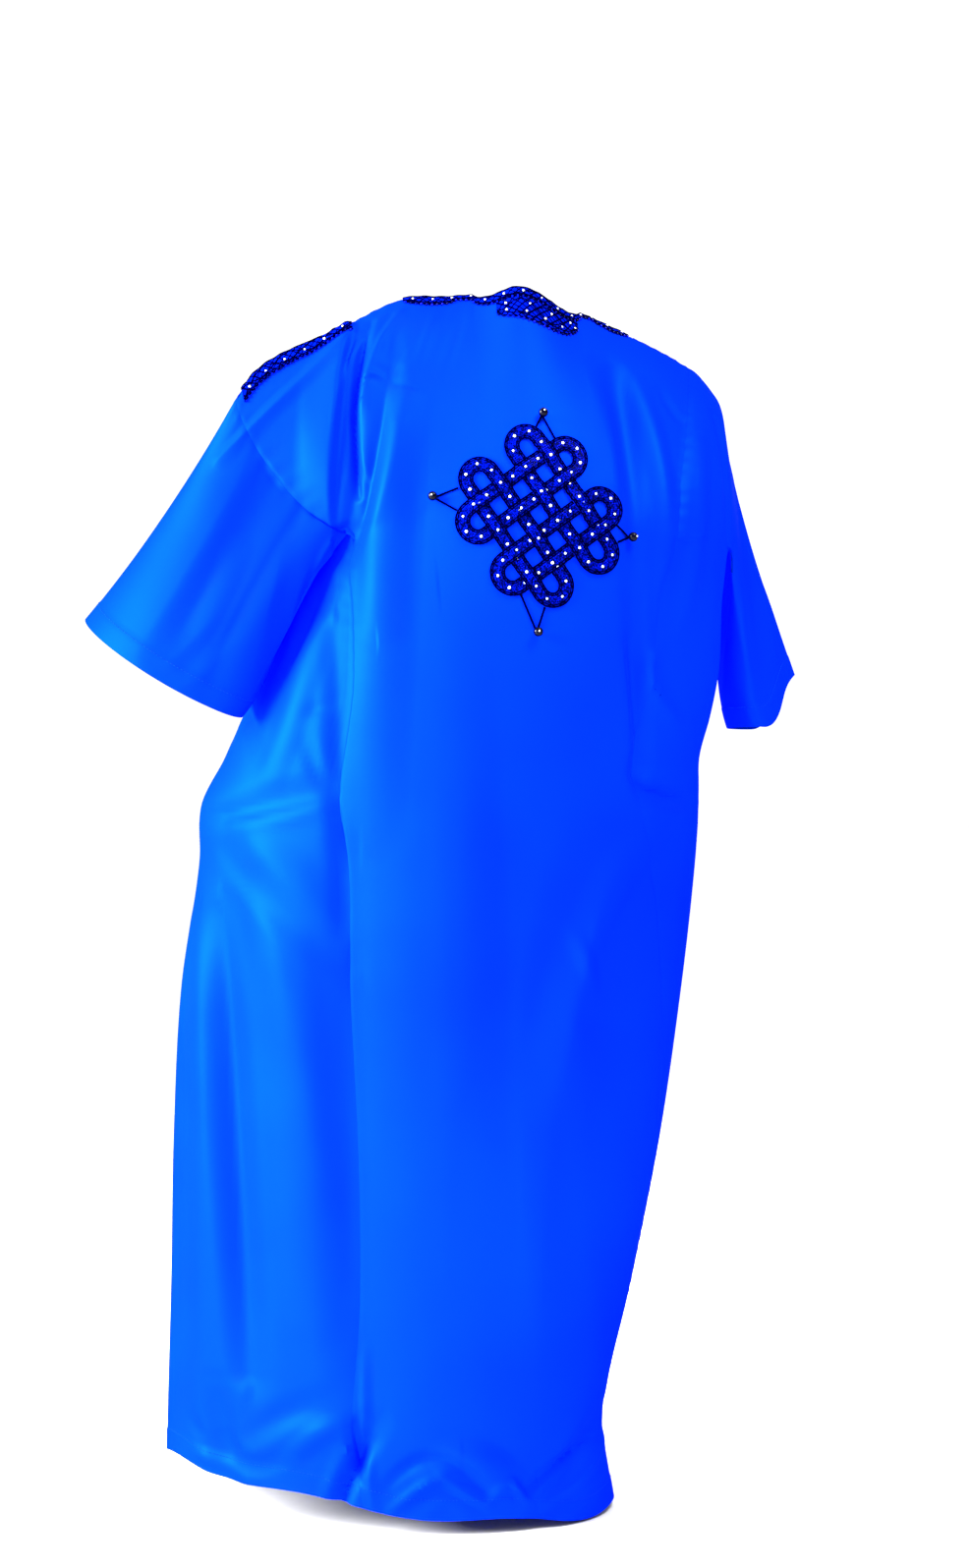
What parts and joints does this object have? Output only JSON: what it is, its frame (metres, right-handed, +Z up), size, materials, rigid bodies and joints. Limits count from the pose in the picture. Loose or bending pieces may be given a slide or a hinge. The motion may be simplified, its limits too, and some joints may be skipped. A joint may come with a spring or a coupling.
{
  "type": "kaftan dress",
  "caption": "Floor-length satin kaftan worn hollow: loose body, wide elbow-length bell sleeves, lace at the neck and shoulders, and a woven knot applique on the back.",
  "frame": {"origin": "the point between the wearer's shoulders at the base of the neck, where the shoulders carry the dress", "axes": "+X to the wearer's left, +Y behind the wearer, +Z up"},
  "size_m": [0.8583, 0.4551, 1.42],
  "materials": {
    "blue_satin": "satin",
    "navy_lace": "matt",
    "navy_bead": "gloss"
  },
  "bodies": {
    "root": {"back_panel": "blue_satin", "front_panel": "blue_satin", "gore_left": "blue_satin", "gore_right": "blue_satin", "sleeve_left": "blue_satin", "sleeve_right": "blue_satin", "neck_lace": "navy_lace", "neck_medallion": "navy_lace", "shoulder_lace_left": "navy_lace", "shoulder_lace_right": "navy_lace", "knot_applique": "navy_lace", "cord_top": "navy_lace", "cord_left": "navy_lace", "cord_bottom": "navy_lace", "cord_right": "navy_lace", "bead_top": "navy_bead", "bead_left": "navy_bead", "bead_bottom": "navy_bead", "bead_right": "navy_bead"}
  },
  "joints": []
}
